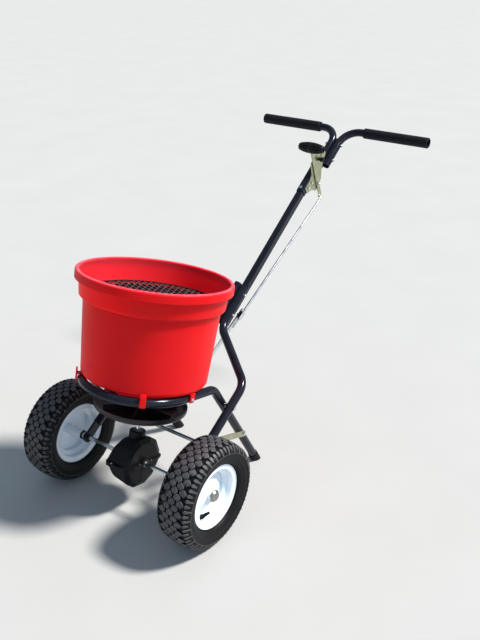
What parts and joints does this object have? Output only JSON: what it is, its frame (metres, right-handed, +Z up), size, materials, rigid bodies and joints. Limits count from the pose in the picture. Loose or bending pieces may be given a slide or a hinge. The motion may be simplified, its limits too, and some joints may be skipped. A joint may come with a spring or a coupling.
{
  "type": "garden spreader",
  "caption": "Walk-behind broadcast spreader: round moulded hopper over a geared spinning disc, on two pneumatic wheels and a tube stand, with a pole handle and lever.",
  "frame": {"origin": "on the ground, under the middle of the parked machine's box", "axes": "+X to the right of the user who pushes it, +Y to the rear towards the handle, +Z up"},
  "size_m": [0.64, 1.2838, 0.9029],
  "materials": {
    "red_plastic": "moulded, satin gloss",
    "black_plastic": "moulded, satin",
    "black_paint": "powder coat, semi-gloss",
    "white_paint": "enamel, gloss",
    "zinc": "bright zinc plate",
    "gear_metal": "greased, as cast",
    "foam": "closed-cell foam, matt",
    "black_rubber": "moulded, matt",
    "tyre_rubber": "turf tread, matt"
  },
  "bodies": {
    "frame": {"axle_bushes": "black_plastic", "brace_bolts": "zinc", "bracket_bolt": "zinc", "crossbar": "zinc", "crossbar_nuts": "zinc", "foot_caps": "black_rubber", "gauge_plate": "zinc", "gauge_plate_screws": "zinc", "gearbox_bushes": "gear_metal", "gearbox_lower": "black_plastic", "gearbox_screws": "zinc", "gearbox_upper": "black_plastic", "handle_bolts": "zinc", "handle_bracket": "black_paint", "handle_pole": "black_paint", "hopper": "red_plastic", "hopper_floor_bush": "black_plastic", "hopper_screws": "zinc", "left_frame_tube": "black_paint", "left_grip": "foam", "left_handle_tube": "black_paint", "left_leg_brace": "zinc", "leg_bolts": "zinc", "lever_pivot_bolt": "zinc", "pole_bolts": "zinc", "right_frame_tube": "black_paint", "right_grip": "foam", "right_handle_tube": "black_paint", "right_leg_brace": "zinc", "shutter_guides": "black_plastic", "spinner_shaft_bush": "gear_metal", "stand_hoop": "black_paint"},
    "drive": {"axle": "zinc", "axle_caps": "zinc", "axle_spacers": "zinc", "wheel_drive_pin": "zinc", "left_tyre": "tyre_rubber", "left_rim": "white_paint", "left_hub_bushes": "black_plastic", "left_valve_stem": "black_rubber", "drive_gear": "gear_metal", "drive_gear_pin": "zinc"},
    "free_wheel": {"right_tyre": "tyre_rubber", "right_rim": "white_paint", "right_hub_bushes": "black_plastic", "right_valve_stem": "black_rubber"},
    "spinner": {"spinner_shaft": "zinc", "pinion": "gear_metal", "impeller": "black_plastic", "impeller_pin": "zinc", "agitator": "zinc"},
    "lever": {"control_lever": "zinc", "lever_knob": "black_plastic"},
    "rod": {"control_rod": "zinc", "rod_clip": "zinc", "rod_clamp": "black_paint", "shutter_link": "zinc"},
    "shutter": {"shutter_plate": "zinc"},
    "stop": {"rate_stop": "black_plastic"},
    "screen": {"debris_screen": "black_plastic"}
  },
  "joints": [
    {"name": "axle_spin", "type": "hinge", "parent": "frame", "child": "drive", "pos_m": [0, -0.49, 0.152], "axis": [1, 0, 0], "continuous": true},
    {"name": "free_wheel_spin", "type": "hinge", "parent": "frame", "child": "free_wheel", "pos_m": [0.2564, -0.49, 0.152], "axis": [1, 0, 0], "continuous": true},
    {"name": "spinner_spin", "type": "hinge", "parent": "frame", "child": "spinner", "pos_m": [0, -0.45265, 0.30758], "axis": [0, 0.2334, 0.9724], "continuous": true},
    {"name": "lever_turn", "type": "hinge", "parent": "frame", "child": "lever", "pos_m": [0.0185, 0.44159, 0.74108], "axis": [-1, 0, 0], "range_deg": [0, 14]},
    {"name": "rod_swing", "type": "hinge", "parent": "lever", "child": "rod", "pos_m": [0.0185, 0.45933, 0.69571], "axis": [-1, 0, 0], "range_deg": [-14, 0]},
    {"name": "shutter_slide", "type": "slide", "parent": "frame", "child": "shutter", "axis": [0, -0.9724, 0.2334], "range_m": [0, 0.0158]},
    {"name": "rate_stop_slide", "type": "slide", "parent": "frame", "child": "stop", "axis": [0, 0.8028, 0.5962], "range_m": [0, 0.02]},
    {"name": "screen_lift", "type": "slide", "parent": "frame", "child": "screen", "axis": [0, 0.2334, 0.9724], "range_m": [0, 0.1]}
  ],
  "couplings": [
    {"joint": "spinner_spin", "follows": "axle_spin", "ratio": 4},
    {"joint": "rod_swing", "follows": "lever_turn", "ratio": -0.96124},
    {"joint": "shutter_slide", "follows": "lever_turn", "m_per_rad": 0.06426}
  ]
}
